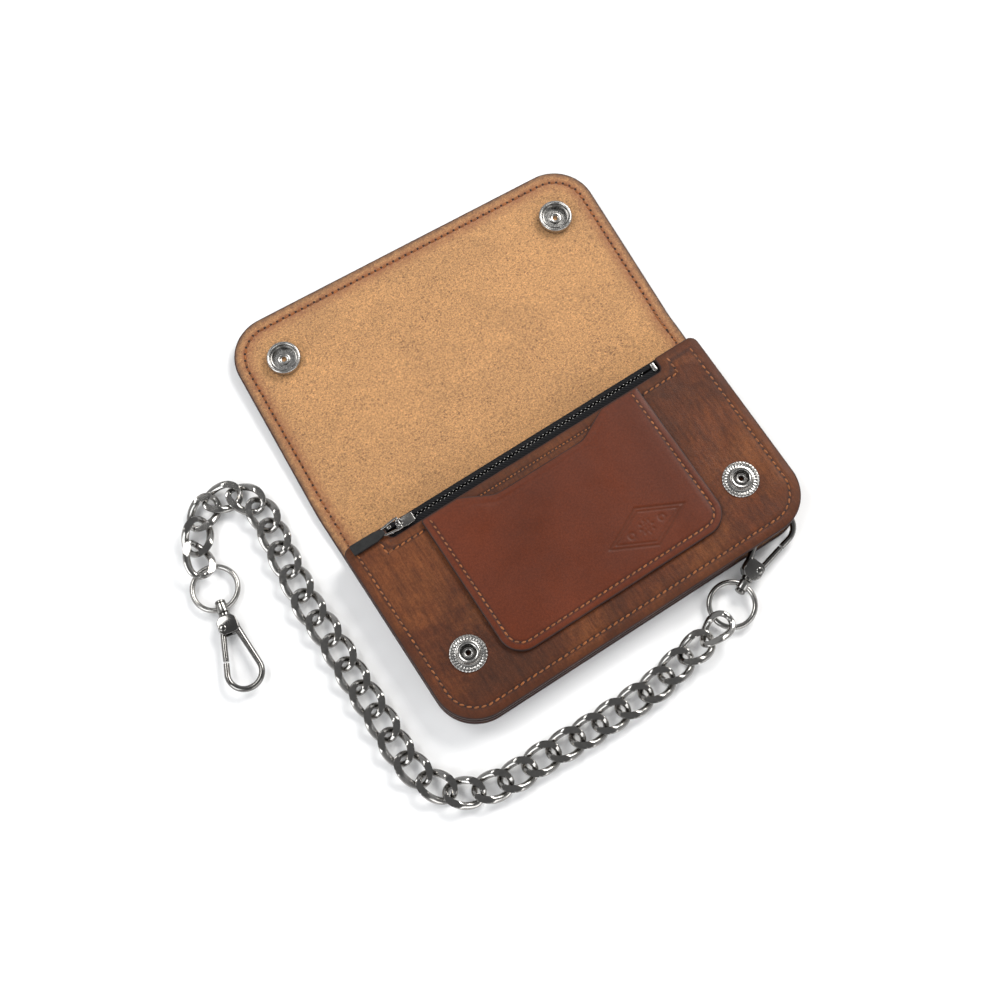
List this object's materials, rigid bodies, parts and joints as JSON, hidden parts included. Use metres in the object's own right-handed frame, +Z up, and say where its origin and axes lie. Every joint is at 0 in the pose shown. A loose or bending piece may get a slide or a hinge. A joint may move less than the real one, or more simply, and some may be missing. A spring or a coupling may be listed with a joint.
{
  "type": "chain wallet",
  "caption": "Long leather wallet with a snap-down flap, a zip pocket and a card pocket, and a curb chain with a swivel clip at each end.",
  "frame": {"origin": "centre of the back panel's underside, which the open wallet lies on", "axes": "+X right across the wallet, +Y from the pockets towards the open flap, +Z up out of the front panel"},
  "size_m": [0.2382, 0.2245, 0.015],
  "materials": {
    "brown_leather": "mottled pull-up leather, waxed, with lighter worn patches and burnished dark edges",
    "suede_side": "raw tan flesh side, matt and fibrous",
    "edge_leather": "dark burnished edge",
    "pocket_leather": "smooth red-brown leather, softly polished",
    "rust_thread": "waxed rust-orange thread",
    "zip_tape": "black woven tape",
    "black_leatherette": "matt black",
    "zip_metal": "bright",
    "spring_steel": "plain",
    "nickel": "polished nickel plate, slightly worn"
  },
  "bodies": {
    "wallet": {"back_panel": "brown_leather", "divider": "edge_leather", "front_panel": "brown_leather", "card_pocket": "pocket_leather", "rear_welt": "edge_leather", "front_welt": "edge_leather", "front_seam": "rust_thread", "pocket_seam": "rust_thread", "zip_seam": "rust_thread", "zip_tape_front": "zip_tape", "zip_tape_rear": "zip_tape", "zip_teeth_front": "zip_metal", "zip_teeth_rear": "zip_metal", "zip_top_stops": "zip_metal", "zip_bottom_stop": "zip_metal", "stud_left": "nickel", "stud_right": "nickel", "stud_post_left": "nickel", "stud_post_right": "nickel", "chain_tab": "pocket_leather", "tab_rivet": "nickel", "d_ring": "nickel", "chain_right": "nickel", "chain_middle": "nickel", "chain_left": "nickel", "ring_left": "nickel", "ring_right": "nickel", "clip_right": "nickel", "post_right": "nickel", "gate_pin_right": "nickel", "gate_spring_right": "spring_steel"},
    "spine": {"spine": "brown_leather"},
    "flap": {"flap": "suede_side", "flap_seam": "rust_thread", "socket_left": "nickel", "socket_right": "nickel", "socket_spring_left": "spring_steel", "socket_spring_right": "spring_steel", "snap_cap_left": "nickel", "snap_cap_right": "nickel"},
    "slider": {"zip_slider": "nickel"},
    "pull": {"zip_bail": "nickel", "zip_pull_tab": "black_leatherette"},
    "free_clip": {"clip_left": "nickel", "post_left": "nickel", "gate_pin_left": "nickel", "gate_spring_left": "spring_steel"},
    "free_gate": {"gate_left": "nickel"},
    "wallet_gate": {"gate_right": "nickel"}
  },
  "joints": [
    {"name": "spine_fold", "type": "hinge", "parent": "wallet", "child": "spine", "pos_m": [0, 0.0455, 0.001], "axis": [1, 0, 0], "range_deg": [0, 88.4]},
    {"name": "flap_fold", "type": "hinge", "parent": "spine", "child": "flap", "pos_m": [0, 0.06199, 0.00146], "axis": [0.9991, -0.0305, 0.0288], "range_deg": [0, 90.1]},
    {"name": "zip_slide", "type": "slide", "parent": "wallet", "child": "slider", "axis": [1, 0, 0], "range_m": [0, 0.114]},
    {"name": "pull_swing", "type": "hinge", "parent": "slider", "child": "pull", "pos_m": [-0.0595, 0.0413, 0.0133], "axis": [0, 1, 0], "range_deg": [0, 180]},
    {"name": "free_clip_swivel", "type": "hinge", "parent": "wallet", "child": "free_clip", "pos_m": [-0.13629, 0.05249, 0.00249], "axis": [-0.1992, -0.979, 0.0436], "continuous": true},
    {"name": "free_gate_swing", "type": "hinge", "parent": "free_clip", "child": "free_gate", "pos_m": [-0.1401, 0.0448, 0.00285], "axis": [0.0087, 0.0427, 0.999], "range_deg": [0, 20], "stiffness_Nm_per_rad": 0.02},
    {"name": "wallet_gate_swing", "type": "hinge", "parent": "wallet", "child": "wallet_gate", "pos_m": [0.05099, -0.05145, 0.00382], "axis": [0.0703, -0.3093, 0.9484], "range_deg": [0, 20], "stiffness_Nm_per_rad": 0.02}
  ],
  "couplings": [
    {"joint": "flap_fold", "follows": "spine_fold", "ratio": 1.0187}
  ]
}
